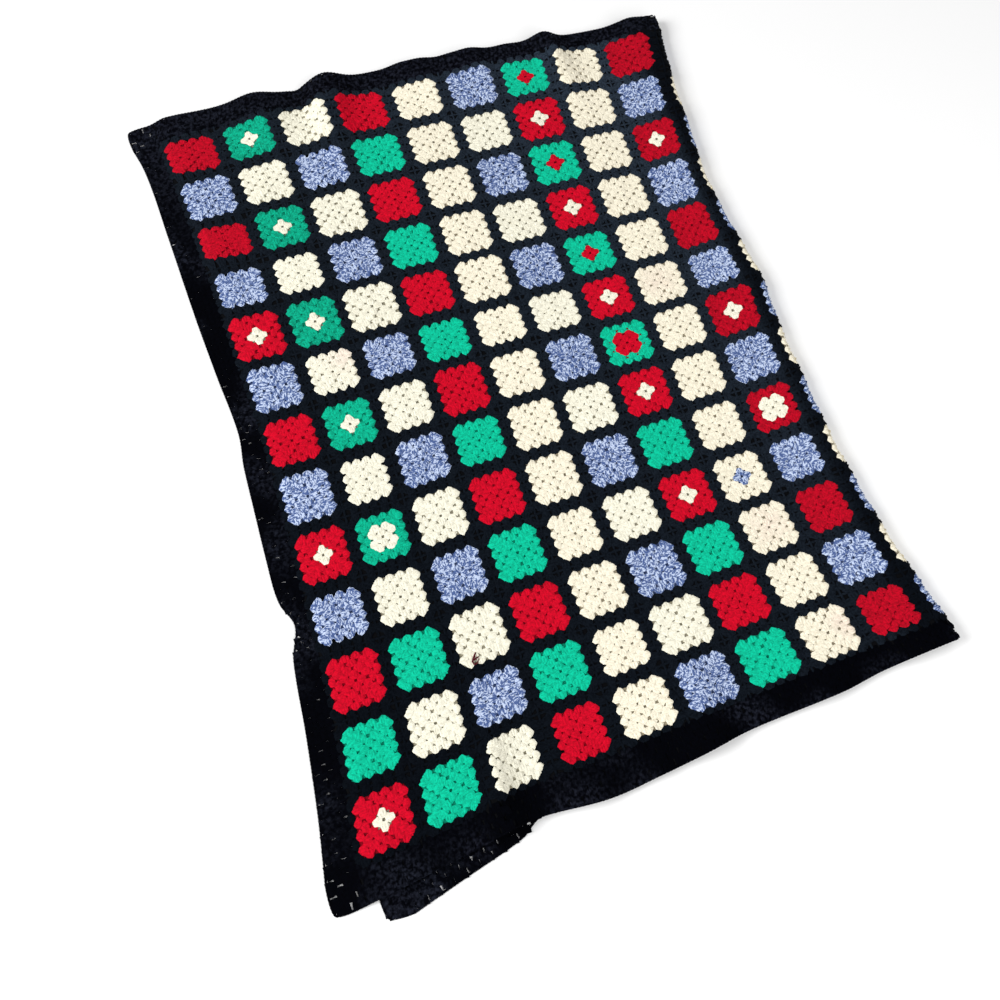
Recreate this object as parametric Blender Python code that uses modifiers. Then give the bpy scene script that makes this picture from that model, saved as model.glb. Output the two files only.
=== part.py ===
"""Granny-square afghan blanket, folded once along its length and laid flat.

The blanket is 18 strips wide and 13 rows long. Strips 1 to 9 are the upper layer, strip 10 goes
round the fold on the +X side, and the rest of the blanket lies underneath on the surface.
Places on the blanket are (strip, row), counted in squares from the first square's corner:
strip grows towards the fold, and row grows towards -Y. A place outside the squares is on the
border. Metres, +Z up, origin under the middle of the folded blanket.
"""

import math
from collections import namedtuple

import bmesh
import bpy
from mathutils import Vector

# Driving sizes of the crochet, in metres
CLOTH = 0.004            # thickness of double crochet in this yarn
LAYER_GAP = 0.003        # air between the two layers
SEAM_GAP = 0.0008        # between the panel and its border
FOLD_RADIUS = 0.010      # centre line of the cloth round the fold
FOLD_RUN = 0.010         # flat cloth past strip 9 before the fold turns down

# The blanket in squares
STRIPS = 18
ROWS = 13
TOP_STRIPS = 9           # whole strips in the upper layer
FOLD_START = 9.10        # where the cloth starts to turn down
FOLD_END = 9.45          # where it lies on the surface again
SQUARE = 0.100           # pitch of the squares, lying slack
BORDER = 0.42            # width of the border
CORNER_ROUND = 0.14      # how far the border's corners draw in
UNDER_DRAWN = 0.98       # the under layer's squares lie this much closer than the upper ones
JOIN_BULGE = 0.0025      # how far the stiff black joins stand out at the fold
BULGE_REACH = 2.5        # strips over which the fold's unevenness dies away below

# Openings of the border, in squares
HOLES_PER_SQUARE = 3
HOLE_WIDTH = 0.06
HOLE_NEAR = 0.17         # the opening's two sides, from the field of squares
HOLE_FAR = 0.26

UPPER_Z = CLOTH / 2 + CLOTH + LAYER_GAP
UNDER_Z = CLOTH / 2
UNDER_HEM_STRIP = 0.30   # the under layer's side hem lies below this strip of the upper one
HEM_LANDED = -0.10       # past this strip the upper layer lies on the surface
EDGE_CLEAR = 0.03        # the upper layer starts down this far past the under hem
SEAM = SEAM_GAP / 2 / SQUARE

# The field of squares of the upper layer, one section across it for each line here
Section = namedtuple("Section", "row left right y_left y_mid y_right")
SECTIONS = (
    Section(0.0, -0.484, 0.491, 0.650, 0.652, 0.628),
    Section(2.0, -0.466, 0.465, 0.452, 0.450, 0.430),
    Section(4.0, -0.455, 0.453, 0.255, 0.245, 0.234),
    Section(6.5, -0.443, 0.450, -0.003, 0.002, 0.004),
    Section(9.0, -0.446, 0.441, -0.260, -0.248, -0.239),
    Section(11.0, -0.454, 0.456, -0.467, -0.445, -0.426),
    Section(13.0, -0.475, 0.483, -0.676, -0.637, -0.615),
)

# How wide the border lies along each open edge of the upper layer
Hem = namedtuple("Hem", "at width")
SIDE_HEM = (
    Hem(-0.4, 0.050), Hem(0.5, 0.037), Hem(2.0, 0.040), Hem(3.5, 0.040), Hem(5.0, 0.036),
    Hem(6.1, 0.031), Hem(6.7, 0.038), Hem(8.5, 0.040), Hem(9.0, 0.036), Hem(9.4, 0.024),
    Hem(9.9, 0.035), Hem(11.0, 0.040), Hem(12.5, 0.041), Hem(13.4, 0.047),
)
HEAD_HEM = (Hem(0.0, 0.044), Hem(2.5, 0.038), Hem(4.5, 0.038), Hem(7.0, 0.032), Hem(9.0, 0.031))
FOOT_HEM = (
    Hem(0.0, 0.048), Hem(2.4, 0.041), Hem(3.8, 0.050), Hem(5.0, 0.055), Hem(5.8, 0.043),
    Hem(7.3, 0.043), Hem(8.0, 0.036), Hem(9.2, 0.032),
)

# The under layer's own foot hem, which shows past the upper one near the open corner
UNDER_FOOT_HEM = (
    Hem(9.4, 0.032), Hem(15.0, 0.032), Hem(16.0, 0.028), Hem(16.5, 0.038), Hem(17.2, 0.044),
    Hem(18.4, 0.052),
)
UNDER_TURN = 0.034       # how far the under layer's open side lies towards the foot
UNDER_TURN_FROM = 13.0   # the strip where it starts to turn

# The fold's outline, past a straight one
Bulge = namedtuple("Bulge", "row out")
FOLD_LINE = (
    Bulge(-0.4, 0.000), Bulge(0.5, -0.003), Bulge(1.5, -0.006), Bulge(2.5, -0.002),
    Bulge(3.5, -0.011), Bulge(4.5, -0.002), Bulge(6.0, 0.006), Bulge(7.0, -0.001),
    Bulge(8.5, 0.008), Bulge(10.0, 0.001), Bulge(11.5, -0.001), Bulge(13.4, 0.006),
)

# Ripples run in from an edge: where their crest starts, how they lean, and how far they reach
Ripple = namedtuple("Ripple", "edge at lean reach width height")
RIPPLES = (
    Ripple("head", 0.35, 0.10, 1.3, 0.45, 0.005),
    Ripple("head", 1.80, 0.10, 2.2, 0.40, 0.017),
    Ripple("head", 3.05, -0.12, 2.8, 0.36, 0.026),
    Ripple("head", 4.75, 0.05, 1.8, 0.32, 0.011),
    Ripple("head", 5.65, 0.10, 1.6, 0.30, 0.012),
    Ripple("head", 6.45, 0.00, 1.2, 0.26, 0.008),
    Ripple("head", 7.05, 0.15, 2.2, 0.25, 0.019),
    Ripple("head", 8.75, 0.00, 1.7, 0.38, 0.009),
    Ripple("foot", 2.15, 0.10, 1.9, 0.27, 0.012),
    Ripple("foot", 3.35, -0.20, 1.3, 0.30, 0.008),
    Ripple("foot", 5.20, 0.15, 2.0, 0.34, 0.014),
    Ripple("foot", 7.10, 0.00, 1.2, 0.32, 0.007),
    Ripple("foot", 8.70, 0.25, 1.6, 0.30, 0.008),
    Ripple("side", 2.20, 0.10, 2.2, 0.34, 0.008),
    Ripple("side", 5.05, -0.10, 1.6, 0.32, 0.006),
    Ripple("side", 6.95, 0.15, 2.0, 0.32, 0.008),
    Ripple("side", 9.45, 0.10, 1.8, 0.28, 0.010),
    Ripple("side", 11.6, -0.10, 1.4, 0.34, 0.005),
)
# Places where the upper layer has drifted in its own plane
Drift = namedtuple("Drift", "strip row reach_strips reach_rows dx dy")
DRIFTS = (
    Drift(1.6, 9.5, 0.9, 4.2, 0.000, -0.0045),
    Drift(2.5, 12.8, 0.8, 0.9, -0.003, 0.0075),
    Drift(4.4, 2.3, 3.2, 2.6, 0.006, -0.001),
    Drift(4.0, 7.5, 2.8, 1.8, -0.003, 0.002),
    Drift(7.0, 5.8, 2.2, 2.4, 0.000, -0.0045),
)
SWELL_HEIGHT = 0.0035    # slow rise and fall of the whole upper layer
SWELL_STRIPS = 2.7
SWELL_ROWS = 3.1

# Grid lines of the solids, in squares
PANEL_STEP = 0.5
HEM_LINES = (0.1, 0.27)  # more lines where the upper layer comes down to the surface
FOLD_STEPS = 8

YARNS = {
    "black yarn": (0.004, 0.005, 0.009),
    "red yarn": (0.48, 0.006, 0.024),
    "green yarn": (0.008, 0.44, 0.28),
    "blue marl yarn": (0.24, 0.31, 0.50),
    "ivory yarn": (0.77, 0.77, 0.69),
    "cream yarn": (0.74, 0.71, 0.58),
}
YARN_ROUGHNESS = 0.9

# Yarn of the squares in the odd rows and in the even rows of each strip
Strip = namedtuple("Strip", "odd even")
STRIP_YARNS = (
    Strip("red yarn", "blue marl yarn"), Strip("green yarn", "cream yarn"),
    Strip("ivory yarn", "blue marl yarn"), Strip("red yarn", "green yarn"),
    Strip("cream yarn", "cream yarn"), Strip("blue marl yarn", "ivory yarn"),
    Strip("green yarn", "red yarn"), Strip("cream yarn", "cream yarn"),
    Strip("red yarn", "blue marl yarn"), Strip("blue marl yarn", "cream yarn"),
    Strip("cream yarn", "red yarn"), Strip("green yarn", "ivory yarn"),
    Strip("red yarn", "blue marl yarn"), Strip("cream yarn", "cream yarn"),
    Strip("blue marl yarn", "green yarn"), Strip("ivory yarn", "red yarn"),
    Strip("green yarn", "cream yarn"), Strip("red yarn", "blue marl yarn"),
)


def remove_everything():
    for thing in list(bpy.data.objects):
        bpy.data.objects.remove(thing, do_unlink=True)


def ease(t):
    """0 to 1 with no corner at either end."""
    t = min(max(t, 0.0), 1.0)
    return t * t * (3.0 - 2.0 * t)


def read_table(table, where, column):
    """A smooth curve through one column of a table whose first column is the place."""
    places = [line[0] for line in table]
    values = [getattr(line, column) for line in table]
    last = len(places) - 1
    k = 0
    while k < last - 1 and where > places[k + 1]:
        k += 1

    def slope(n):
        before, after = max(n - 1, 0), min(n + 1, last)
        return (values[after] - values[before]) / (places[after] - places[before])

    span = places[k + 1] - places[k]
    t = (where - places[k]) / span
    if t < 0.0:
        return values[k] + slope(k) * (where - places[k])
    if t > 1.0:
        return values[k + 1] + slope(k + 1) * (where - places[k + 1])
    start, end = slope(k) * span, slope(k + 1) * span
    rise = values[k + 1] - values[k]
    return values[k] + t * (start + t * (3 * rise - 2 * start - end + t * (start + end - 2 * rise)))


def past(value, low, high):
    """How far a place is outside the squares: negative before them, positive after."""
    return min(value - low, 0.0) + max(value - high, 0.0)


def pitch(row):
    left, right = read_table(SECTIONS, row, "left"), read_table(SECTIONS, row, "right")
    return (right - left) / TOP_STRIPS


def field_y(strip, row):
    """Y of the squares' field: a parabola through the section's left, middle and right."""
    y_left, y_mid, y_right = (read_table(SECTIONS, row, name) for name in ("y_left", "y_mid", "y_right"))
    t = 2.0 * strip / TOP_STRIPS - 1.0
    return y_mid + t * (y_right - y_left) / 2 + t * t * ((y_left + y_right) / 2 - y_mid)


def ripple_height(strip, row):
    """Height of the upper layer over its own flat level."""
    height = 0.0
    from_edge = {"head": (strip, row + BORDER), "foot": (strip, ROWS + BORDER - row), "side": (row, strip + BORDER)}
    for ripple in RIPPLES:
        along, depth = from_edge[ripple.edge]
        aside = (along - ripple.at - ripple.lean * depth) / ripple.width
        height += ripple.height * math.exp(-aside * aside) * ease(1.0 - depth / ripple.reach)
    swell = math.sin(math.tau * strip / SWELL_STRIPS + 1.3 * row) * math.cos(math.tau * row / SWELL_ROWS)
    inside = ease(strip / 1.5) * ease((TOP_STRIPS - strip) / 1.5)
    return height + SWELL_HEIGHT * 0.5 * (1.0 + swell) * inside


def drift(strip, row):
    """How far a place of the upper layer has moved in its own plane."""
    dx = dy = 0.0
    for spot in DRIFTS:
        across, along = (strip - spot.strip) / spot.reach_strips, (row - spot.row) / spot.reach_rows
        share = math.exp(-across * across - along * along)
        dx += share * spot.dx
        dy += share * spot.dy
    return dx, dy


def corner_draw(strip, row):
    """The border's width at a corner, as a share of its width along the edges."""
    across = abs(past(strip, 0.0, STRIPS)) / BORDER
    along = abs(past(row, 0.0, ROWS)) / BORDER
    return 1.0 - CORNER_ROUND * across * along


def lands(strip):
    """0 over the under layer, 1 where the upper layer's side hem lies on the surface."""
    start = UNDER_HEM_STRIP - EDGE_CLEAR
    return ease((start - strip) / (start - HEM_LANDED))


def upper_point(strip, row):
    in_strip, in_row = max(strip, 0.0), min(max(row, 0.0), ROWS)
    x = read_table(SECTIONS, in_row, "left") + in_strip * pitch(in_row)
    y = field_y(strip, in_row)
    draw = corner_draw(strip, row) / BORDER
    x += past(strip, 0.0, STRIPS) * draw * read_table(SIDE_HEM, row, "width")
    if row < 0.0:
        y += -row * draw * read_table(HEAD_HEM, strip, "width")
    if row > ROWS:
        y -= (row - ROWS) * draw * read_table(FOOT_HEM, strip, "width")
    dx, dy = drift(strip, row)
    x, y = x + dx, y + dy
    rise = ease((strip - TOP_STRIPS + 0.9) / 1.05) * (2 * FOLD_RADIUS + UNDER_Z - UPPER_Z)
    level = UPPER_Z + rise + (UNDER_Z - UPPER_Z) * lands(strip)
    calm = ease((FOLD_START - strip) / 0.5)
    level += ripple_height(strip, row) * calm * (1.0 - 0.8 * lands(strip))
    return Vector((x, y, level))


def straight_fold_x(row):
    return read_table(SECTIONS, min(max(row, 0.0), ROWS), "right") + FOLD_RUN


def fold_x(row):
    """X of the line where the cloth starts to turn down."""
    in_row = min(max(row, 0.0), ROWS)
    return straight_fold_x(row) + read_table(FOLD_LINE, row, "out") + JOIN_BULGE * math.cos(math.tau * in_row)


def fold_y(row):
    return upper_point(FOLD_START, row).y


def under_point(strip, row):
    in_row = min(max(row, 0.0), ROWS)
    from_fold = min(strip, STRIPS) - FOLD_END
    near_fold = ease(1.0 - from_fold / BULGE_REACH)
    x = straight_fold_x(row) + near_fold * (fold_x(row) - straight_fold_x(row))
    draw = corner_draw(strip, row)
    x -= from_fold * pitch(in_row) * UNDER_DRAWN + max(strip - STRIPS, 0.0) * SQUARE * draw
    mirrored = FOLD_START - from_fold
    y = field_y(max(mirrored, 0.0), in_row)
    if row < 0.0:
        y += -row / BORDER * draw * read_table(HEAD_HEM, mirrored, "width")
    if row > ROWS:
        y -= (row - ROWS) / BORDER * draw * read_table(UNDER_FOOT_HEM, strip, "width")
    turn = max(strip - UNDER_TURN_FROM, 0.0) / (STRIPS - UNDER_TURN_FROM)
    y -= UNDER_TURN * min(turn, 1.0) ** 1.5
    return Vector((x, y, UNDER_Z))


def fold_point(strip, row):
    turn = math.pi * (strip - FOLD_START) / (FOLD_END - FOLD_START)
    x = fold_x(row) + FOLD_RADIUS * math.sin(turn)
    return Vector((x, fold_y(row), UNDER_Z + FOLD_RADIUS * (1.0 + math.cos(turn))))


def cloth_point(strip, row):
    """The middle of the cloth's thickness at a place on the blanket."""
    if strip <= FOLD_START:
        point = upper_point(strip, row)
        reach = ease((strip - TOP_STRIPS + 1.0) / (FOLD_START - TOP_STRIPS + 1.0))
        point.x += reach * (fold_x(row) - upper_point(FOLD_START, row).x)
        return point
    if strip < FOLD_END:
        return fold_point(strip, row)
    return under_point(strip, row)


def spread(first, last, count):
    return [first + (last - first) * k / count for k in range(count + 1)]


def with_fold(lines):
    """Puts close lines round the fold into a list of strip lines."""
    spare = 0.5 * (FOLD_END - FOLD_START) / FOLD_STEPS
    apart = [s for s in lines if s < FOLD_START - spare or s > FOLD_END + spare]
    return sorted(apart + spread(FOLD_START, FOLD_END, FOLD_STEPS))


def panel_lines(length):
    count = round(length / PANEL_STEP)
    lines = spread(0.0, length, count)
    return [SEAM] + lines[1:-1] + [length - SEAM]


def hole_sides(length):
    """The two sides of each opening along an edge, in order."""
    centres = [(k + 0.5) / HOLES_PER_SQUARE for k in range(length * HOLES_PER_SQUARE)]
    return [c + side * HOLE_WIDTH / 2 for c in centres for side in (-1.0, 1.0)]


def border_lines(length):
    before = [-BORDER, -HOLE_FAR, -HOLE_NEAR, -SEAM]
    return before + hole_sides(length) + [length - s for s in reversed(before)]


def in_border(place, length):
    return place < 0.0 or place > length


def in_hole_ring(place, length):
    """Whether a place across the border lies in the row of openings."""
    return HOLE_NEAR < abs(past(place, 0.0, length)) < HOLE_FAR


def in_hole_column(place, length):
    """Whether a place along the border lies in one of its openings."""
    if not 0.0 < place < length:
        return False
    aside = place * HOLES_PER_SQUARE % 1.0 - 0.5
    return abs(aside) < 0.5 * HOLE_WIDTH * HOLES_PER_SQUARE


def is_border_cloth(strip, row):
    """Whether a cell of the border's grid is cloth, not an opening or the field of squares."""
    across_strips, across_rows = in_border(strip, STRIPS), in_border(row, ROWS)
    if across_strips and across_rows:
        return not (in_hole_ring(strip, STRIPS) and in_hole_ring(row, ROWS))
    if across_strips:
        return not (in_hole_ring(strip, STRIPS) and in_hole_column(row, ROWS))
    if across_rows:
        return not (in_hole_ring(row, ROWS) and in_hole_column(strip, STRIPS))
    return False


def yarn_material(name):
    material = bpy.data.materials.get(name) or bpy.data.materials.new(name)
    material.use_nodes = True
    shader = material.node_tree.nodes["Principled BSDF"]
    shader.inputs["Base Color"].default_value = (*YARNS[name], 1.0)
    shader.inputs["Roughness"].default_value = YARN_ROUGHNESS
    shader.inputs["Metallic"].default_value = 0.0
    return material


def cloth_piece(name, strips, rows, keep, collection):
    """A sheet with the given grid lines, laid on the folded form and given its thickness."""
    across, along = len(strips) - 1, len(rows) - 1
    bpy.ops.mesh.primitive_grid_add(x_subdivisions=across, y_subdivisions=along, size=2.0)
    piece = bpy.context.object
    piece.name = name
    piece.data.name = name
    for home in list(piece.users_collection):
        home.objects.unlink(piece)
    collection.objects.link(piece)

    sheet = bmesh.new()
    sheet.from_mesh(piece.data)
    for vertex in sheet.verts:
        column = round((vertex.co.x + 1.0) / 2.0 * across)
        line = round((1.0 - vertex.co.y) / 2.0 * along)
        vertex.co = Vector((strips[column], rows[line], 0.0))
    dropped = [face for face in sheet.faces if not keep(*face.calc_center_median().xy)]
    bmesh.ops.delete(sheet, geom=dropped, context="FACES")
    paint_faces(piece, sheet)
    for vertex in sheet.verts:
        vertex.co = cloth_point(vertex.co.x, vertex.co.y)
    sheet.to_mesh(piece.data)
    sheet.free()

    thickness = piece.modifiers.new("cloth thickness", "SOLIDIFY")
    thickness.thickness = CLOTH
    thickness.offset = 0.0
    piece.data.shade_smooth()
    return piece


def paint_faces(piece, sheet):
    """Gives each square its yarn, and the border its black, while the sheet is still in squares."""
    names = list(YARNS)
    for name in names:
        piece.data.materials.append(yarn_material(name))
    for face in sheet.faces:
        strip, row = face.calc_center_median().xy
        if in_border(strip, STRIPS) or in_border(row, ROWS):
            face.material_index = names.index("black yarn")
        else:
            yarns = STRIP_YARNS[int(strip)]
            face.material_index = names.index(yarns.even if int(row) % 2 else yarns.odd)


def make_squares_panel(collection):
    strips = with_fold(sorted([*panel_lines(STRIPS), *HEM_LINES]))
    return cloth_piece("squares_panel", strips, panel_lines(ROWS), lambda strip, row: True, collection)


def make_border(collection):
    strips = with_fold(border_lines(STRIPS))
    return cloth_piece("border", strips, border_lines(ROWS), is_border_cloth, collection)


def stand_on_origin(pieces):
    """Moves the pieces together so that the blanket's box stands centred on the origin."""
    bpy.context.view_layer.update()
    depsgraph = bpy.context.evaluated_depsgraph_get()
    corners = []
    for piece in pieces:
        shape = piece.evaluated_get(depsgraph)
        corners += [vertex.co.copy() for vertex in shape.to_mesh().vertices]
        shape.to_mesh_clear()
    low = Vector([min(c[k] for c in corners) for k in range(3)])
    high = Vector([max(c[k] for c in corners) for k in range(3)])
    shift = Vector((-(low.x + high.x) / 2, -(low.y + high.y) / 2, -low.z))
    for piece in pieces:
        for vertex in piece.data.vertices:
            vertex.co += shift
    print("blanket box", [round(v, 4) for v in high - low], "shift", [round(v, 5) for v in shift])


def main():
    remove_everything()
    collection = bpy.data.collections.new("afghan blanket")
    bpy.context.scene.collection.children.link(collection)
    panel = make_squares_panel(collection)
    border = make_border(collection)
    stand_on_origin([panel, border])


main()
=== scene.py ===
"""Granny-square afghan blanket, folded once along its length and laid flat: stitches, yarns, light.

Every square is crocheted here fan by fan, and laid on the solids' folded form, with finer pleats and
hems. Places on the blanket are (strip, row), counted in squares from the first square's corner:
strip grows towards the fold, and row grows towards -Y. Stitch sizes are in millimetres on a square
of 100 mm.
"""

import math
from collections import namedtuple

import bpy
import numpy as np
from mathutils import Matrix, Vector


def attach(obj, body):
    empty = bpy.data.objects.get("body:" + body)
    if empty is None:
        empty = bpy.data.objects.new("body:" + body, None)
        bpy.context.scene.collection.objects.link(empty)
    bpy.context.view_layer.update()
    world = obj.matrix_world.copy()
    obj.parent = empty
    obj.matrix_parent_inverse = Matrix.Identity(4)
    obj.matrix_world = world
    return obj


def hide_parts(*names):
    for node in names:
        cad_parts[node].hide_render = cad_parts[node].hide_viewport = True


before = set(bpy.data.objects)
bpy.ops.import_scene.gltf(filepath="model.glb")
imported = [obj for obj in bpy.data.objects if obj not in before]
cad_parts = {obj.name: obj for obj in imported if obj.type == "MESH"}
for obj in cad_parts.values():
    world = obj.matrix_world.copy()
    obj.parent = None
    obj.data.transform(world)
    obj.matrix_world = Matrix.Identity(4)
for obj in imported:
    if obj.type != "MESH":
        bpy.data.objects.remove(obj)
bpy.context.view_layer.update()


def records(kind, lines):
    """A table's lines of values, each as a record of its kind."""
    return tuple(kind(*line) for line in lines)


# The blanket's sizes, in metres and squares
CLOTH = 0.004
LAYER_GAP = 0.003
FOLD_RADIUS = 0.010
FOLD_RUN = 0.010
STRIPS = 18
ROWS = 13
TOP_STRIPS = 9
FINE_STRIPS = range(10)  # strips worked in full detail, the fold's one with them
PLAIN_STRIPS = range(10, STRIPS)
FOLD_START = 9.10
FOLD_END = 9.45
RISE_START = 0.9  # the upper layer rises to the fold from this far before strip 9's end
RISE_RUN = 1.05
RIPPLE_END = 0.5  # ripples fade out over this run before the fold
SQUARE = 0.100
BORDER = 0.42
CORNER_ROUND = 0.14
UNDER_DRAWN = 0.994
JOIN_BULGE = 0.0005
BULGE_REACH = 2.5
UPPER_Z = CLOTH / 2 + CLOTH + LAYER_GAP
UNDER_Z = CLOTH / 2
UNDER_HEM_STRIP = 0.30
HEM_LANDED = -0.10
LANDED_FLAT = 0.8  # the ripples' height is cut by this share where the hem has landed
EDGE_CLEAR = 0.03
STITCH_LOWEST = 0.0002  # the under layer's stitches are flattened at this height
SHADE_SHEET_LOWEST = 0.0007  # and the sheet of painted shade behind them at this one
SHADE_SHEET_DEPTH = 0.0008
SHADE_SHEET_THICK = 0.0006
SHADE_SHEET_REACH = 0.395  # how far the sheet of painted shade goes into the border, in squares
ORIGIN_SHIFT = (0.00593, 0.02976, 0.0)  # from the sections' origin to the frame's

# The field of squares of the upper layer, one section across it for each line here
Section = namedtuple("Section", "row left right y_left y_mid y_right")
SECTIONS = records(Section, (
    (0.0, -0.484, 0.491, 0.650, 0.652, 0.628),
    (2.0, -0.466, 0.465, 0.452, 0.450, 0.430),
    (4.0, -0.455, 0.453, 0.255, 0.245, 0.234),
    (6.5, -0.443, 0.450, -0.003, 0.002, 0.004),
    (9.0, -0.446, 0.441, -0.260, -0.248, -0.239),
    (11.0, -0.454, 0.456, -0.467, -0.445, -0.426),
    (13.0, -0.475, 0.483, -0.676, -0.637, -0.615),
))

# How wide the border lies along each open edge
Hem = namedtuple("Hem", "at width")
SIDE_HEM = records(Hem, (
    (-0.4, 0.050), (0.5, 0.037), (2.0, 0.040), (3.5, 0.040), (5.0, 0.036), (6.1, 0.031), (6.7, 0.038),
    (8.5, 0.040), (9.0, 0.036), (9.4, 0.020), (9.9, 0.035), (11.0, 0.040), (12.3, 0.043), (13.4, 0.050),
))
HEAD_HEM = records(Hem, ((0.0, 0.047), (2.5, 0.038), (4.5, 0.038), (7.0, 0.032), (9.0, 0.031)))
FOOT_HEM = records(Hem, (
    (0.0, 0.048), (2.4, 0.041), (3.6, 0.055), (4.4, 0.053), (5.0, 0.050), (5.8, 0.043), (7.3, 0.043),
    (8.0, 0.036), (9.2, 0.032),
))
UNDER_FOOT_HEM = records(Hem, (
    (9.4, 0.032), (15.0, 0.030), (16.02, 0.024), (16.32, 0.037), (17.2, 0.042), (18.4, 0.043),
))
UNDER_TURN = 0.042
UNDER_TURN_FROM = 13.0
UNDER_TURN_BEND = 2.2

# The fold's outline, past a straight one
Bulge = namedtuple("Bulge", "row out")
FOLD_LINE = records(Bulge, (
    (-0.4, 0.000), (0.5, -0.003), (1.5, -0.006), (2.3, -0.005), (3.5, -0.011), (4.7, -0.005),
    (6.0, 0.005), (7.0, -0.001), (8.5, 0.003), (10.0, 0.001), (11.5, -0.001), (13.4, 0.006),
))

# How far the cloth has slid round the fold, up to which row, and over how many
Slide = namedtuple("Slide", "strips until over")
FOLD_SLIDES = (Slide(0.05, 6.0, 3.0), Slide(0.11, 1.5, 0.6))
SLIDE_START = 8.9
SLIDE_RISE = 0.2
SLIDE_END = 10.4

# Ripples run in from an edge: where their crest starts, how they lean, and how far they reach
Ripple = namedtuple("Ripple", "edge at lean reach width height")
RIPPLES = records(Ripple, (
    ("head", 0.35, 0.10, 1.3, 0.45, 0.005),
    ("head", 1.80, 0.10, 2.2, 0.40, 0.017),
    ("head", 3.05, -0.12, 2.8, 0.36, 0.026),
    ("head", 4.75, 0.05, 1.8, 0.32, 0.011),
    ("head", 5.65, 0.10, 1.6, 0.30, 0.012),
    ("head", 6.45, 0.00, 1.2, 0.26, 0.008),
    ("head", 7.05, 0.15, 2.2, 0.25, 0.019),
    ("head", 8.75, 0.00, 1.7, 0.38, 0.009),
    ("foot", 2.15, 0.10, 1.9, 0.27, 0.012),
    ("foot", 3.35, -0.20, 1.3, 0.30, 0.008),
    ("foot", 5.20, 0.15, 2.0, 0.34, 0.014),
    ("foot", 7.10, 0.00, 1.2, 0.32, 0.007),
    ("foot", 8.70, 0.25, 1.6, 0.30, 0.008),
    ("side", 2.20, 0.10, 2.2, 0.34, 0.008),
    ("side", 5.05, -0.10, 1.6, 0.32, 0.006),
    ("side", 6.95, 0.15, 2.0, 0.32, 0.008),
    ("side", 9.45, 0.10, 1.8, 0.28, 0.010),
    ("side", 11.6, -0.10, 1.4, 0.34, 0.005),
))

# Finer pleats, which the solids leave out
PLEATS = records(Ripple, (
    ("head", 2.55, 0.00, 1.80, 0.13, -0.0050),
    ("head", 4.38, 0.00, 1.20, 0.22, 0.0060),
    ("head", 5.28, 0.00, 1.00, 0.20, 0.0050),
    ("head", 6.50, 0.00, 0.90, 0.22, -0.0050),
    ("foot", 2.14, 0.05, 2.60, 0.14, 0.0095),
    ("foot", 4.42, 0.10, 0.95, 0.14, 0.0045),
    ("foot", 8.38, 0.20, 1.20, 0.14, 0.0050),
    ("side", 0.92, -0.10, 1.20, 0.13, 0.0050),
    ("side", 2.95, -0.15, 1.40, 0.13, 0.0055),
    ("side", 3.90, 0.00, 1.10, 0.15, 0.0045),
    ("side", 7.92, 0.10, 1.30, 0.14, 0.0040),
))

# Places where the upper layer has drifted in its own plane
Drift = namedtuple("Drift", "strip row reach_strips reach_rows dx dy")
DRIFTS = records(Drift, (
    (1.6, 9.5, 0.9, 4.2, 0.000, -0.0045),
    (2.5, 12.8, 0.8, 0.9, -0.003, 0.0075),
    (4.4, 2.3, 3.2, 2.6, 0.006, -0.001),
    (4.0, 7.5, 2.8, 1.8, -0.003, 0.002),
    (7.0, 5.8, 2.2, 2.4, 0.000, -0.0045),
))
SWELL_HEIGHT = 0.0035
SWELL_STRIPS = 2.7
SWELL_ROWS = 3.1
SWELL_LEAN = 1.3
SWELL_END = 1.5  # swells fade out over this many strips at both sides

# Rounds of one square: radius to the middle of a side, in millimetres
MM = 0.01  # one millimetre on a square, in squares
HALF_SQUARE = 50.0
ROUND_RADII = (2.2, 16.0, 24.0, 32.6, 41.4, 49.0)
COLOUR_ROUNDS = 4
CORNER_FAN = 15.0  # a corner fan's top is this far from the corner, along the side
CORNER_BASE = 4.6  # it starts this far inside the last round's corner, both ways
FIRST_CORNER_BASE = 5.8  # in the second round it reaches in further, between the first four fans
FIRST_SPREAD = 0.78  # and the first round's fans are this much narrower
FIRST_LIFT = 0.9  # and lie this much higher
BORDER_ROUNDS = 4
BORDER_ROUND = 10.2
BORDER_FAN_PITCH = 20.0
EDGE_CHAIN = 40.3
FULL_FAN = 1.02  # how wide the border's fans are worked, as a share of their drawn width
GAP_SHARE = 0.22  # the loosest ones are this much narrower in places, and leave gaps
HAND_JITTER = 0.35  # how far stitches stray from their places, in millimetres
HEIGHT_JITTER = 0.35  # and how far in height, as a share of that
YARN_UNEVEN = (0.92, 1.08)  # and how thin and how thick they come out, in shares

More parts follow.
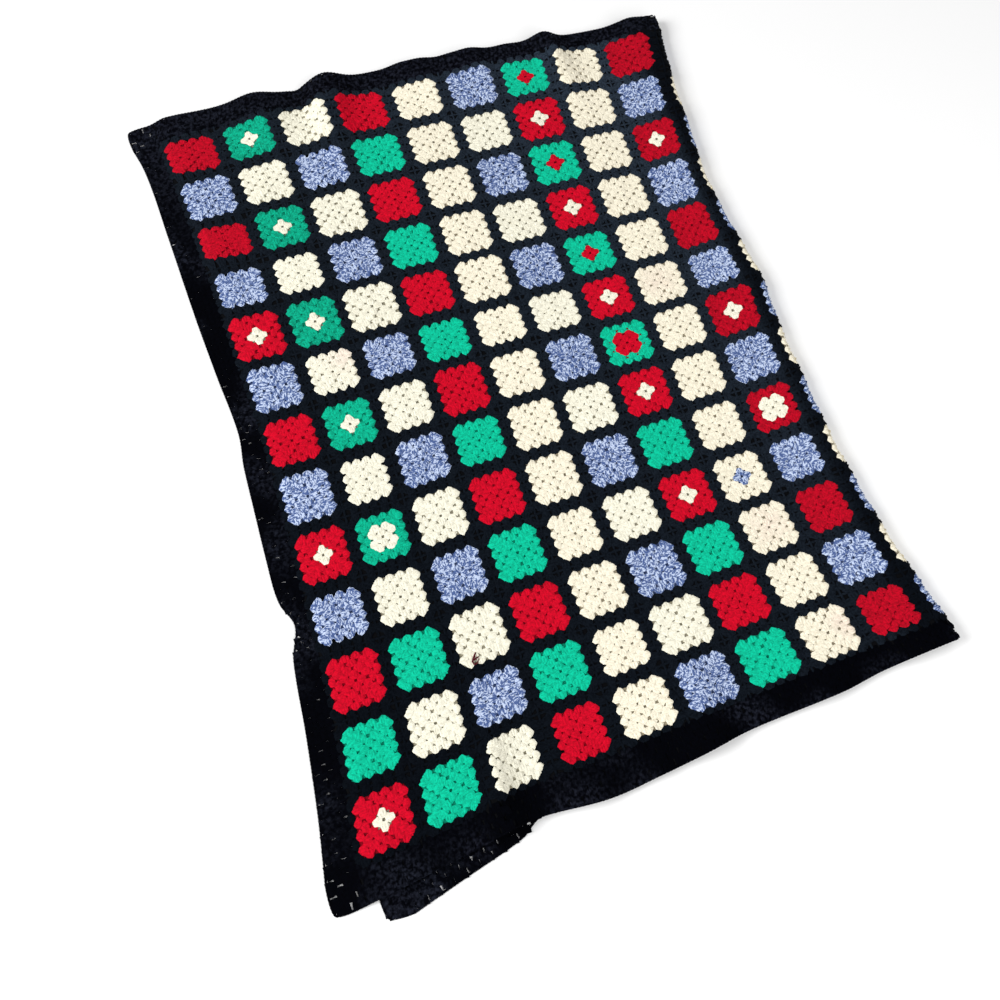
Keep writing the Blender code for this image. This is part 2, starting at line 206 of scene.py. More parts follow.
# A fan is three double crochets from one gap, close together: places along it from base to top
Ring = namedtuple("Ring", "along apart height across thick")
FINE_POST = (
    Ring(0.00, 2.8, 0.0, 1.8, 1.0),
    Ring(0.34, 4.6, 1.2, 2.25, 1.7),
    Ring(0.74, 4.2, 1.4, 2.2, 1.7),
    Ring(1.02, 3.0, 0.3, 1.9, 0.6),
)
PLAIN_POST = (
    Ring(0.00, 2.8, 0.0, 1.8, 1.0),
    Ring(0.55, 4.8, 1.4, 2.3, 1.7),
    Ring(1.00, 3.8, 0.4, 2.1, 0.8),
)
FAN_BODY = (
    Ring(0.02, 0.0, 0.1, 5.4, 1.2),
    Ring(0.40, 0.0, 0.5, 10.0, 1.5),
    Ring(0.66, 0.0, 0.6, 7.3, 1.5),
    Ring(1.00, 0.0, 0.6, 5.9, 1.3),
)
EDGE_BODY = (
    Ring(0.02, 0.0, 0.1, 5.4, 1.2),
    Ring(0.32, 0.0, 0.5, 9.4, 1.5),
    Ring(0.60, 0.0, 0.6, 6.5, 1.5),
    Ring(0.90, 0.0, 0.4, 5.4, 1.3),
    Ring(1.06, 0.0, -0.3, 2.2, 0.4),
)
TUFT_BODY = (
    Ring(0.02, 0.0, 0.0, 5.6, 1.0),
    Ring(0.52, 0.0, 0.7, 9.0, 1.9),
    Ring(1.00, 0.0, 0.2, 5.6, 0.9),
)
BORDER_POST = (
    Ring(0.00, 4.6, -0.2, 2.8, 0.9),
    Ring(0.50, 5.8, 1.1, 3.2, 1.5),
    Ring(0.96, 5.6, 0.3, 2.9, 0.7),
)
BORDER_BODY = (
    Ring(-0.10, 0.0, -0.3, 9.2, 0.9),
    Ring(0.50, 0.0, 0.4, 10.7, 1.6),
    Ring(0.98, 0.0, 0.0, 10.4, 0.9),
)
Fan = namedtuple("Fan", "posts post body")
EDGE_FAN = Fan((-1, 0, 1), FINE_POST, EDGE_BODY)
PLAIN_FAN = Fan((-1, 0, 1), PLAIN_POST, FAN_BODY)
BORDER_FAN = Fan((-1, 0, 1), BORDER_POST, BORDER_BODY)
TUFT_FAN = Fan((), (), TUFT_BODY)
LINK = (Ring(-0.62, 0.0, 0.1, 1.5, 0.5), Ring(0.0, 0.0, 0.9, 2.1, 1.3), Ring(0.62, 0.0, 0.1, 1.5, 0.5))
LINK_PITCH = 5.5
FAN_TUCK = 2.5  # a fan starts this far inside the last round's edge
SIDE_POST_SHORT = 1.8  # the outer two posts of a fan end this much lower
PLY_LENGTH = 3.5  # one ply's ridge along the twisted yarn, in millimetres
PLY_WIDTH = 2.4
EDGE_INSET = 3.0  # the black of the sheet of painted shade starts this far inside the coloured rounds

Palette = namedtuple("Palette", "colour dark")
YARNS = {
    "black": Palette((0.0027, 0.0041, 0.0068), (0.0006, 0.0008, 0.0016)),
    # painted shade: the border's black, the joins' yarn drawn darker
    "shaded black": Palette((0.0007, 0.0009, 0.0022), (0.0003, 0.0003, 0.0007)),
    "red": Palette((0.64, 0.001, 0.019), (0.24, 0.001, 0.008)),
    "green": Palette((0.002, 0.56, 0.335), (0.001, 0.22, 0.13)),
    "blue": Palette((0.070, 0.115, 0.28), (0.03, 0.05, 0.13)),
    "ivory": Palette((0.895, 0.867, 0.72), (0.34, 0.31, 0.22)),
    "cream": Palette((0.925, 0.866, 0.70), (0.34, 0.29, 0.20)),
    "maroon": Palette((0.09, 0.006, 0.014), (0.03, 0.002, 0.005)),
}

YARN_ROUGHNESS = 0.9
YARN_SPECULAR = 0.1
BLACK_SPECULAR = 0.02
YARN_SHEEN = 0.02
# Streaks towards each yarn's dark colour: partly uneven dye, partly painted shade along the strands
FULL_DYE_AND_SHADE = 0.95
DYE_AND_SHADE_AMOUNTS = {"ivory": 0.5, "cream": 0.5, "blue": 0.3}
DYE_AND_SHADE_STREAK = (0.40, 0.60)
FUZZ_SCALE = 240.0
# Painted light: the joins' black is drawn paler towards the head and the fold
PAINTED_LIGHT_BLACK = (0.0255, 0.0375, 0.0560)
PAINTED_LIGHT_WAY = (1.45, 1.07, 0.0)  # towards the head's corner at the fold
PAINTED_LIGHT_GROWTH = (0.32, 3.11)
PAINTED_LIGHT_STOPS = (0.47, 0.41)  # X of the fold's full black, and of the first black with painted light beside it
# Painted highlights: border clusters drawn paler where they catch the light, most along the head
BORDER_HIGHLIGHTS = (0.014, 0.0162, 0.0262)
HIGHLIGHT_NOISES = ((175.0, 0.34, 0.73), (8.0, 0.46, 0.66))
HEAD_HIGHLIGHTS = (0.35, 0.75)
MARL_WHITE = (0.61, 0.71, 0.92)
MARL_EDGE = 0.522
MARL_SOFT = 0.05
STREAKS = (3.2, 0.65, 1.0)  # round and along the yarn
LOT_SHUFFLE = 400.0
FLOOR_COLOUR = (0.97, 0.97, 0.97, 1.0)
WORLD_STRENGTH = 0.45

# Yarn of the squares in the odd rows and in the even rows of each strip
Strip = namedtuple("Strip", "odd even")
STRIP_YARNS = records(Strip, (
    ("red", "blue"), ("green", "ivory"), ("ivory", "blue"), ("red", "green"), ("cream", "cream"),
    ("blue", "ivory"), ("green", "red"), ("cream", "cream"), ("red", "blue"), ("blue", "cream"),
    ("cream", "red"), ("green", "ivory"), ("red", "blue"), ("cream", "cream"), ("blue", "green"),
    ("ivory", "red"), ("green", "cream"), ("red", "blue"),
))
ODD_ONES = {(1, 12): "green"}

# Squares whose first rounds are worked in another yarn
Centre = namedtuple("Centre", "strip rows yarn rounds")
CENTRES = records(Centre, (
    (1, (5, 9, 13), "ivory", 1), (2, (1, 3, 5, 7), "ivory", 1), (2, (9,), "ivory", 2),
    (7, (1, 3, 5), "red", 1), (7, (7,), "red", 2), (7, (2, 4, 6, 8, 10), "ivory", 1),
    (8, (10,), "blue", 1), (9, (3, 7), "ivory", 1), (9, (9,), "ivory", 2),
))

# Squares whose coloured rounds came out narrower, shorter, longer or leaning, in shares
Uneven = namedtuple("Uneven", "strip row wide long lean", defaults=(0.0,))
UNEVEN = records(Uneven, (
    (1, 1, 1.00, 0.88, 0.10), (2, 1, 0.96, 0.94), (5, 1, 0.96, 0.95), (7, 1, 0.96, 0.94),
    (9, 1, 1.03, 1.04), (1, 2, 1.02, 1.06), (3, 2, 1.00, 0.93), (7, 2, 1.02, 1.08),
    (1, 3, 1.00, 0.79, 0.10), (3, 3, 1.04, 1.06), (7, 3, 1.02, 1.04), (1, 4, 0.97, 0.89, 0.04),
    (2, 4, 0.93, 0.87), (9, 4, 1.05, 1.10), (1, 5, 1.03, 1.07), (2, 5, 1.02, 1.09), (3, 5, 1.07, 1.07),
    (5, 5, 1.04, 1.09), (6, 5, 1.01, 1.05), (9, 5, 0.98, 1.10), (2, 6, 0.97, 0.91), (3, 6, 0.98, 0.95),
    (4, 6, 0.97, 0.93), (5, 6, 0.99, 0.87), (6, 6, 0.97, 0.94), (9, 6, 0.92, 0.93), (4, 7, 1.01, 1.10),
    (9, 7, 0.99, 1.10), (2, 8, 0.92, 0.92), (4, 8, 0.98, 0.94), (2, 9, 0.98, 0.95), (8, 9, 0.97, 0.95),
    (9, 9, 0.92, 0.97), (1, 10, 1.00, 0.92), (2, 10, 0.97, 0.96), (3, 10, 0.98, 0.95),
    (5, 10, 0.94, 0.95), (9, 10, 0.89, 0.94), (3, 11, 1.01, 1.05), (9, 11, 0.88, 1.00),
    (1, 12, 0.97, 0.94), (3, 12, 0.98, 0.95), (5, 12, 0.92, 0.94), (6, 12, 1.04, 1.04),
    (3, 13, 0.88, 1.04), (4, 13, 0.89, 0.99), (9, 13, 0.87, 0.91, 0.03),
))

# Red and green squares drawn darker, by a share towards their dark colour
DarkerSquare = namedtuple("DarkerSquare", "strip rows share")
DARKER_SQUARES = records(DarkerSquare, (
    (1, (1, 3), 0.25), (2, (1, 3, 5), 0.40), (2, (7, 9), 0.25),
    (9, (1, 3, 5, 7, 9, 11, 13), 0.30),
))

# Faint pink stains, as places and reach in squares
Stain = namedtuple("Stain", "strip row reach depth")
STAINS = records(Stain, (
    (1.75, 5.25, 0.24, 0.75), (7.45, 5.45, 0.34, 0.40), (7.55, 10.45, 0.34, 0.45),
    (7.86, 12.45, 0.24, 0.75),
))
STAIN_PINK = (0.82, 0.55, 0.52)
STAIN_PATCHES = 60.0

rng = np.random.default_rng(1970)


def ease(t):
    """0 to 1 with no corner at either end."""
    t = np.clip(t, 0.0, 1.0)
    return t * t * (3.0 - 2.0 * t)


def read_table(table, where, column):
    """A smooth curve through one column of a table whose first column is the place."""
    places = np.array([line[0] for line in table])
    values = np.array([getattr(line, column) for line in table])
    order = np.arange(len(places))
    before, after = np.maximum(order - 1, 0), np.minimum(order + 1, len(places) - 1)
    slopes = (values[after] - values[before]) / (places[after] - places[before])
    k = np.clip(np.searchsorted(places, where) - 1, 0, len(places) - 2)
    span = places[k + 1] - places[k]
    t = (where - places[k]) / span
    start, end, rise = slopes[k] * span, slopes[k + 1] * span, values[k + 1] - values[k]
    u = np.clip(t, 0.0, 1.0)
    curve = values[k] + u * (start + u * (3 * rise - 2 * start - end + u * (start + end - 2 * rise)))
    return curve + np.minimum(t, 0.0) * start + np.maximum(t - 1.0, 0.0) * end


def past(value, low, high):
    """How far a place is outside the squares: negative before them, positive after."""
    return np.minimum(value - low, 0.0) + np.maximum(value - high, 0.0)


def pitch(row):
    """Width of one strip of the upper layer."""
    return (read_table(SECTIONS, row, "right") - read_table(SECTIONS, row, "left")) / TOP_STRIPS


def field_y(strip, row):
    """Y of the squares' field: a parabola through the section's left, middle and right."""
    y_left, y_mid, y_right = (read_table(SECTIONS, row, name) for name in ("y_left", "y_mid", "y_right"))
    t = 2.0 * strip / TOP_STRIPS - 1.0
    return y_mid + t * (y_right - y_left) / 2 + t * t * ((y_left + y_right) / 2 - y_mid)


def ripple_height(strip, row):
    """Height of the upper layer over its own flat level."""
    from_head, from_foot, from_side = row + BORDER, ROWS + BORDER - row, strip + BORDER
    from_edge = {"head": (strip, from_head), "foot": (strip, from_foot), "side": (row, from_side)}
    height = 0.0
    for ripple in RIPPLES + PLEATS:
        along, depth = from_edge[ripple.edge]
        aside = (along - ripple.at - ripple.lean * depth) / ripple.width
        height = height + ripple.height * np.exp(-aside * aside) * ease(1.0 - depth / ripple.reach)
    across = np.sin(math.tau * strip / SWELL_STRIPS + SWELL_LEAN * row)
    swell = across * np.cos(math.tau * row / SWELL_ROWS)
    inside = ease(strip / SWELL_END) * ease((TOP_STRIPS - strip) / SWELL_END)
    return height + SWELL_HEIGHT * 0.5 * (1.0 + swell) * inside


def drift(strip, row):
    """How far a place of the upper layer has moved in its own plane."""
    dx = dy = 0.0
    for spot in DRIFTS:
        across, along = (strip - spot.strip) / spot.reach_strips, (row - spot.row) / spot.reach_rows
        share = np.exp(-across * across - along * along)
        dx, dy = dx + share * spot.dx, dy + share * spot.dy
    return dx, dy


def corner_draw(strip, row):
    """The border's width at a corner, as a share of its width along the edges."""
    past_both = np.abs(past(strip, 0.0, STRIPS) * past(row, 0.0, ROWS)) / BORDER**2
    return 1.0 - CORNER_ROUND * np.minimum(past_both, 1.0) ** 3


def lands(strip):
    """0 over the under layer, 1 where the upper layer's side hem lies on the surface."""
    start = UNDER_HEM_STRIP - EDGE_CLEAR
    return ease((start - strip) / (start - HEM_LANDED))


def upper_point(strip, row):
    """A place of the upper layer, from its left hem to the fold."""
    in_row = np.clip(row, 0.0, ROWS)
    draw = corner_draw(strip, row) / BORDER
    x = read_table(SECTIONS, in_row, "left") + np.maximum(strip, 0.0) * pitch(in_row)
    x = x + past(strip, 0.0, STRIPS) * draw * read_table(SIDE_HEM, row, "width")
    y = field_y(strip, in_row)
    y = y + np.maximum(-row, 0.0) * draw * read_table(HEAD_HEM, strip, "width")
    y = y - np.maximum(row - ROWS, 0.0) * draw * read_table(FOOT_HEM, strip, "width")
    dx, dy = drift(strip, row)
    rise = ease((strip - TOP_STRIPS + RISE_START) / RISE_RUN) * (2 * FOLD_RADIUS + UNDER_Z - UPPER_Z)
    level = UPPER_Z + rise + (UNDER_Z - UPPER_Z) * lands(strip)
    flat = ease((FOLD_START - strip) / RIPPLE_END) * (1.0 - LANDED_FLAT * lands(strip))
    return np.stack([x + dx, y + dy, level + ripple_height(strip, row) * flat], axis=-1)


def straight_fold_x(row):
    """X where the cloth would turn down if the fold were straight."""
    return read_table(SECTIONS, np.clip(row, 0.0, ROWS), "right") + FOLD_RUN


def fold_x(row):
    """X of the line where the cloth starts to turn down."""
    joins = JOIN_BULGE * np.cos(math.tau * np.clip(row, 0.0, ROWS))
    return straight_fold_x(row) + read_table(FOLD_LINE, row, "out") + joins


def under_point(strip, row):
    """A place of the under layer, which runs back from the fold under the upper one."""
    in_row = np.clip(row, 0.0, ROWS)
    from_fold = np.minimum(strip, STRIPS) - FOLD_END
    near_fold = ease(1.0 - from_fold / BULGE_REACH)
    draw = corner_draw(strip, row)
    x = straight_fold_x(row) + near_fold * (fold_x(row) - straight_fold_x(row))
    x = x - from_fold * pitch(in_row) * UNDER_DRAWN - np.maximum(strip - STRIPS, 0.0) * SQUARE * draw
    mirrored = FOLD_START - from_fold
    y = field_y(np.maximum(mirrored, 0.0), in_row)
    y = y + np.maximum(-row, 0.0) / BORDER * draw * read_table(HEAD_HEM, mirrored, "width")
    y = y - np.maximum(row - ROWS, 0.0) / BORDER * draw * read_table(UNDER_FOOT_HEM, strip, "width")
    turn = np.clip((strip - UNDER_TURN_FROM) / (STRIPS - UNDER_TURN_FROM), 0.0, 1.0)
    return np.stack([x, y - UNDER_TURN * turn**UNDER_TURN_BEND, np.full_like(x, UNDER_Z)], axis=-1)


def fold_point(strip, row):
    """A place on the half round of the fold."""
    turn = math.pi * np.clip((strip - FOLD_START) / (FOLD_END - FOLD_START), 0.0, 1.0)
    x = fold_x(row) + FOLD_RADIUS * np.sin(turn)
    y = upper_point(np.full_like(strip, FOLD_START), row)[..., 1]
    return np.stack([x, y, UNDER_Z + FOLD_RADIUS * (1.0 + np.cos(turn))], axis=-1)


def slid(strip, row):
    """Strips as they lie: near the head the fold runs closer to the join of strips 9 and 10."""
    slide = sum(step.strips * ease((step.until - row) / step.over) for step in FOLD_SLIDES)
    return strip + slide * ease((strip - SLIDE_START) / SLIDE_RISE) * ease(SLIDE_END - strip)


def cloth_point(strip, row):
    """The middle of the cloth's thickness at a place on the blanket."""
    strip = slid(strip, row)
    upper = upper_point(strip, row)
    reach = ease((strip - TOP_STRIPS + 1.0) / (FOLD_START - TOP_STRIPS + 1.0))
    upper[..., 0] += reach * (fold_x(row) - upper_point(np.full_like(strip, FOLD_START), row)[..., 0])
    on_top, below = (strip <= FOLD_START)[..., None], (strip >= FOLD_END)[..., None]
    folded = np.where(below, under_point(strip, row), fold_point(strip, row))
    return np.where(on_top, upper, folded) + np.array(ORIGIN_SHIFT)


def unit(vectors):
    """The same directions at length 1."""
    return vectors / np.maximum(np.linalg.norm(vectors, axis=-1, keepdims=True), 1e-12)


def cloth_frame(strip, row):
    """A point of the cloth and the outward normal of its right side."""
    step = 0.02
    point = cloth_point(strip, row)
    across = cloth_point(strip + step, row) - cloth_point(strip - step, row)
    along = cloth_point(strip, row + step) - cloth_point(strip, row - step)
    return point, unit(np.cross(along, across))


def turned(side, x, r):
    """A place on one of a square's four sides, x along the side and r outwards."""
    return ((x, -r), (r, x), (-x, r), (-r, -x))[side]


def fan_runs(base, top, fan, spread=1.0):
    """The yarn runs of one fan: its posts and the soft body between them, on a side seen flat."""
    (base_x, base_r), (top_x, top_r) = base, top
    runs = []
    for j, rings in [(j, fan.post) for j in fan.posts] + [(0, fan.body)]:
        end_r = top_r - SIDE_POST_SHORT * abs(j)
        runs.append([
            (base_x + (top_x - base_x) * ring.along + j * ring.apart * spread,
             base_r + (end_r - base_r) * ring.along, ring.height, ring.across * spread, ring.thick)
            for ring in rings
        ])
    return runs


def side_places(inner, outer, count, depth=0.0, corner=CORNER_BASE):
    """Where the fans of one side of a round start and end: (base x, base r, top x) for each."""
    if count == 1:
        return [(0.0, inner, 0.0)]
    top_reach = outer - CORNER_FAN
    gap = 2.0 * (inner - CORNER_FAN) / max(count - 2, 1)
    places = []
    for k in range(count):
        top_x = top_reach * (2.0 * k / (count - 1) - 1.0)
        base_x, base_r = (k - (count - 1) / 2) * gap, inner - FAN_TUCK
        if k in (0, count - 1):
            base_x, base_r = math.copysign(inner - corner, top_x), inner - corner
        places.append((base_x, base_r + depth, top_x))
    return places


def round_runs(number, fan):
    """All yarn runs of one round of a square: its four sides, in millimetres from its middle."""
    inner, outer = ROUND_RADII[number - 1], ROUND_RADII[number]
    corner = FIRST_CORNER_BASE if number == 2 else CORNER_BASE
    spread, lift = (FIRST_SPREAD, FIRST_LIFT) if number == 1 else (1.0, 0.0)
    groups = {}
    for side in range(4):
        for base_x, base_r, top_x in side_places(inner, outer, number, 0.0, corner):
            for run in fan_runs((base_x, base_r), (top_x, outer), fan, spread):
                places = [(*turned(side, x, r), h + lift, w, t) for x, r, h, w, t in run]
                groups.setdefault(len(places), []).append(places)
    return {rings: np.array(runs) for rings, runs in groups.items()}


def stretch_of(strip, row):
    """How wide, long and leaning a square's coloured rounds are; strip and row count from 0 here."""
    for square in UNEVEN:
        if (square.strip, square.row) == (strip + 1, row + 1):
            return square.wide, square.long, square.lean
    return 1.0, 1.0, 0.0


def laid_runs(template, squares):
    """A round's runs laid on each of the given squares, a little uneven as handwork is."""
    centres = np.array(squares, dtype=float)[:, None, None, :] + 0.5
    count, rings = template.shape[:2]
    runs = np.broadcast_to(template, (len(squares), count, rings, 5)).copy()
    runs[..., :2] += rng.normal(0.0, HAND_JITTER, (len(squares), count, 1, 2))
    runs[..., 2] += rng.normal(0.0, HAND_JITTER * HEIGHT_JITTER, (len(squares), count, 1))
    runs[..., 3:] *= rng.uniform(*YARN_UNEVEN, (len(squares), count, 1, 1))
    reach = np.abs(template[..., :2]).max(axis=-1)
    black = (reach - ROUND_RADII[COLOUR_ROUNDS]) / (ROUND_RADII[-1] - ROUND_RADII[COLOUR_ROUNDS])
    share = (1.0 - np.clip(black, 0.0, 1.0))[..., None]
    stretch = np.array([stretch_of(*square) for square in squares])[:, None, None, :]
    runs[..., :2] *= 1.0 + (stretch[..., :2] - 1.0) * share
    runs[..., 1] += runs[..., 0] * stretch[..., 2] * share[..., 0]
    runs[..., :2] = runs[..., :2] * MM + centres
    return runs.reshape(-1, rings, 5)


def stained(strip, row):
    """How deep a stain lies at a place on the blanket."""
    depth = np.zeros_like(strip)
    for stain in STAINS:
        away = ((strip - stain.strip) ** 2 + (row - stain.row) ** 2) / stain.reach**2
        depth = np.maximum(depth, stain.depth * np.exp(-away))
    return depth


def darker_share(strip, row):
    """How much darker a place's square is drawn."""
    shares = np.zeros((STRIPS, ROWS))
    for lot in DARKER_SQUARES:
        shares[lot.strip - 1, [number - 1 for number in lot.rows]] = lot.share
    return shares[np.clip(strip.astype(int), 0, STRIPS - 1), np.clip(row.astype(int), 0, ROWS - 1)]


def swept(runs, sides=4):
    """Vertices, faces, twist, lot, stain and tone of yarn swept along runs of (strip, row, h, w, t)."""
    count, rings = runs.shape[:2]
    point, normal = cloth_frame(runs[..., 0], runs[..., 1])
    middle = point + normal * (runs[..., 2:3] * 0.001)
    along = unit(np.gradient(middle, axis=1))
    across = unit(np.cross(along, normal))
    up = np.cross(across, along)
    angle = np.arange(sides) * math.tau / sides
    width = runs[..., 3, None, None] * 0.001 * np.cos(angle)[:, None]
    height = runs[..., 4, None, None] * 0.001 * np.sin(angle)[:, None]
    verts = middle[:, :, None, :] + across[:, :, None, :] * width + up[:, :, None, :] * height
    verts[..., 2] = np.maximum(verts[..., 2], STITCH_LOWEST)

    first = (np.arange(count) * rings * sides)[:, None, None]
    ring = (np.arange(rings - 1) * sides)[None, :, None]
    k = np.arange(sides)[None, None, :]
    after = (k + 1) % sides
    faces = np.stack([first + ring + after, first + ring + k, first + ring + sides + k,
                      first + ring + sides + after], axis=-1)
    lengths = np.linalg.norm(np.diff(middle, axis=1), axis=-1)
    travelled = np.concatenate([np.zeros((count, 1)), np.cumsum(lengths, axis=1)], axis=1)
    travelled = travelled * 1000.0 / PLY_LENGTH + rng.uniform(0.0, 1.0, (count, 1))
    shape = faces.shape[:3]
    girth = np.maximum(1.0, np.round(runs[..., 3].mean(axis=1) / PLY_WIDTH))[:, None, None]
    u_start = np.broadcast_to(k / sides * girth, shape)
    u_end = u_start + girth / sides
    v_start = np.broadcast_to(travelled[:, :-1, None], shape)
    v_end = np.broadcast_to(travelled[:, 1:, None], shape)
    twist = np.stack([
        np.stack([u_end, v_start], -1), np.stack([u_start, v_start], -1),
        np.stack([u_start, v_end], -1), np.stack([u_end, v_end], -1),
    ], axis=-2)
    lot = np.repeat(rng.uniform(0.0, 1.0, count), rings * sides)
    stain = np.repeat(stained(runs[..., 0], runs[..., 1]).ravel(), sides)
    tone = np.repeat(darker_share(runs[..., 0], runs[..., 1]).ravel(), sides)
    return verts.reshape(-1, 3), faces.reshape(-1, 4), twist.reshape(-1, 2), lot, stain, tone


def added(name, data):
    """A new object of the scene."""
    made = bpy.data.objects.new(name, data)
    bpy.context.scene.collection.objects.link(made)
    return made


def mesh_piece(name, parts, material):
    """One piece of the blanket from the swept parts, in one yarn."""
    verts = np.concatenate([part[0] for part in parts])
    offsets = np.cumsum([0] + [len(part[0]) for part in parts[:-1]])
    faces = np.concatenate([part[1] + offset for part, offset in zip(parts, offsets)])
    twist = np.concatenate([part[2] for part in parts])
    mesh = bpy.data.meshes.new(name)
    mesh.vertices.add(len(verts))
    mesh.vertices.foreach_set("co", verts.astype(np.float32).ravel())
    mesh.loops.add(faces.size)
    mesh.loops.foreach_set("vertex_index", faces.astype(np.int32).ravel())
    mesh.polygons.add(len(faces))
    mesh.polygons.foreach_set("loop_start", np.arange(0, faces.size, 4, dtype=np.int32))
    mesh.update(calc_edges=True)
    mesh.uv_layers.new(name="twist").data.foreach_set("uv", twist.astype(np.float32).ravel())
    for k, shade in enumerate(("lot", "stain", "tone"), 3):
        values = np.concatenate([part[k] for part in parts]).astype(np.float32)
        mesh.attributes.new(shade, "FLOAT", "POINT").data.foreach_set("value", values)
    mesh.shade_smooth()
    ends = np.empty(2 * len(mesh.edges), dtype=np.int32)
    mesh.edges.foreach_get("vertices", ends)
    first, last = ends.reshape(-1, 2).T
    flank = (first % 4 == last % 4) & (first % 2 == 0)
    mesh.attributes.new("sharp_edge", "BOOLEAN", "EDGE").data.foreach_set("value", flank)
    mesh.materials.append(material)
    piece = added(name, mesh)
    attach(piece, "root")
    return piece


def yarn_of(strip, row, number):
    """The yarn of one round of one square; strip and row count from 0 here."""
    if number > COLOUR_ROUNDS:
        return "black"
    for centre in CENTRES:
        if centre.strip == strip + 1 and row + 1 in centre.rows and number <= centre.rounds:
            return centre.yarn
    if (strip + 1, row + 1) in ODD_ONES:
        return ODD_ONES[strip + 1, row + 1]
    strip_yarns = STRIP_YARNS[strip]
    return strip_yarns.even if row % 2 else strip_yarns.odd


def node(tree, kind, x, y, inputs=None, **settings):
    """A shader node, with its settings and the values on its sockets."""
    made = tree.nodes.new(kind)
    made.location = (x, y)
    for name, value in settings.items():
        setattr(made, name, value)
    for name, value in (inputs or {}).items():
        made.inputs[name].default_value = value
    return made


def maths(tree, x, y, operation, inputs=None):
    """A node for one sum."""
    return node(tree, "ShaderNodeMath", x, y, inputs, operation=operation)


def wire(tree, *links):
    """Links, each one from a node's output to another node's input."""
    for source, output, target, entry in links:
        tree.links.new(source.outputs[output], target.inputs[entry])


def soft_step(tree, x, y, low, high):
    """0 up to the low value, 1 from the high one, and smooth between them."""
    ends = {"From Min": low, "From Max": high}
    return node(tree, "ShaderNodeMapRange", x, y, ends, interpolation_type="SMOOTHSTEP")


def new_group(name, entries, results):
    """An empty shader node group, with its sockets given as names and kinds."""
    tree = bpy.data.node_groups.new(name, "ShaderNodeTree")
    for in_out, sockets in (("INPUT", entries), ("OUTPUT", results)):
        for socket, kind in sockets.items():
            tree.interface.new_socket(socket, in_out=in_out, socket_type=f"NodeSocket{kind}")
    return tree


def twist_group():
    """Plies of a twisted yarn, as ridges across the twist coordinates."""
    tree = new_group("twisted plies", {"Plies": "Float"}, {"Height": "Float"})
    inputs, outputs = node(tree, "NodeGroupInput", -900, 0), node(tree, "NodeGroupOutput", 500, 0)
    place = node(tree, "ShaderNodeUVMap", -900, -200, uv_map="twist")
    split = node(tree, "ShaderNodeSeparateXYZ", -700, -200)
    turns = maths(tree, -500, -100, "MULTIPLY_ADD")
    ridge = maths(tree, -300, 0, "PINGPONG", {1: 0.5})
    half_turn = maths(tree, -200, 150, "MULTIPLY", {1: math.pi})
    round_off = maths(tree, -100, 0, "SINE")
    wire(tree, (place, "UV", split, 0), (split, "X", turns, 0), (inputs, "Plies", turns, 1),
         (split, "Y", turns, 2), (turns, 0, ridge, 0), (ridge, 0, half_turn, 0),
         (half_turn, 0, round_off, 0), (round_off, 0, outputs, "Height"))
    return tree


def streak_group():
    """Short streaks along the yarn, other ones in every stitch."""
    tree = new_group("yarn streaks", {}, {"Streak": "Float"})
    outputs = node(tree, "NodeGroupOutput", 400, 0)
    place = node(tree, "ShaderNodeUVMap", -700, 100, uv_map="twist")
    along = node(tree, "ShaderNodeMapping", -450, 100, {"Scale": STREAKS})
    lot = node(tree, "ShaderNodeAttribute", -700, -200, attribute_name="lot")
    shuffle = maths(tree, -450, -200, "MULTIPLY", {1: LOT_SHUFFLE})
    fine = {"Scale": 1.0, "Detail": 1.0}
    streaks = node(tree, "ShaderNodeTexNoise", -150, 0, fine, noise_dimensions="4D")
    wire(tree, (place, "UV", along, "Vector"), (along, "Vector", streaks, "Vector"),
         (lot, "Fac", shuffle, 0), (shuffle, 0, streaks, "W"), (streaks, "Fac", outputs, "Streak"))
    return tree


def lot_group():
    """Colour that differs a little from streak to streak along the yarn: partly uneven dye, partly painted
    shade along the strands.
    """
    entries = {"Colour": "Color", "Shadow": "Color", "Amount": "Float", "Tone": "Float", "Streak": "Float"}
    tree = new_group("uneven dye and strand shade", entries, {"Colour": "Color"})
    inputs, outputs = node(tree, "NodeGroupInput", -700, 0), node(tree, "NodeGroupOutput", 400, 0)
    edge = soft_step(tree, -500, -100, *DYE_AND_SHADE_STREAK)
    place = node(tree, "ShaderNodeTexCoord", -900, -400)
    fuzz = node(tree, "ShaderNodeTexNoise", -700, -400, {"Scale": FUZZ_SCALE, "Detail": 3.0})
    blend = maths(tree, -300, -250, "MULTIPLY")
    share = maths(tree, -150, -250, "MULTIPLY_ADD")
    mix = node(tree, "ShaderNodeMix", 0, 0, data_type="RGBA")
    wire(tree, (place, "Object", fuzz, "Vector"), (inputs, "Streak", edge, "Value"),
         (edge, "Result", blend, 0), (fuzz, "Fac", blend, 1), (blend, 0, share, 0),
         (inputs, "Amount", share, 1), (inputs, "Tone", share, 2), (share, 0, mix, "Factor"),
         (inputs, "Colour", mix, "A"), (inputs, "Shadow", mix, "B"), (mix, "Result", outputs, "Colour"))
    return tree


GROUPS = {"twist": twist_group(), "streak": streak_group(), "lot": lot_group()}


def blended(tree, dye, other):
    """A mix of the dye's own colour and another one, which takes the plain colour's place."""
    colours = {"A": dye.inputs["Colour"].default_value, "B": (*other, 1.0)}
    mix = node(tree, "ShaderNodeMix", -650, 200, colours, data_type="RGBA")
    wire(tree, (mix, "Result", dye, "Colour"))
    return mix


def marl_nodes(tree, dye, streaks):
    """A white ply that shows in short flecks along the coloured ones."""
    edge = soft_step(tree, -850, 200, MARL_EDGE - MARL_SOFT, MARL_EDGE + MARL_SOFT)
    mix = blended(tree, dye, MARL_WHITE)
    wire(tree, (streaks, "Streak", edge, "Value"), (edge, "Result", mix, "Factor"))


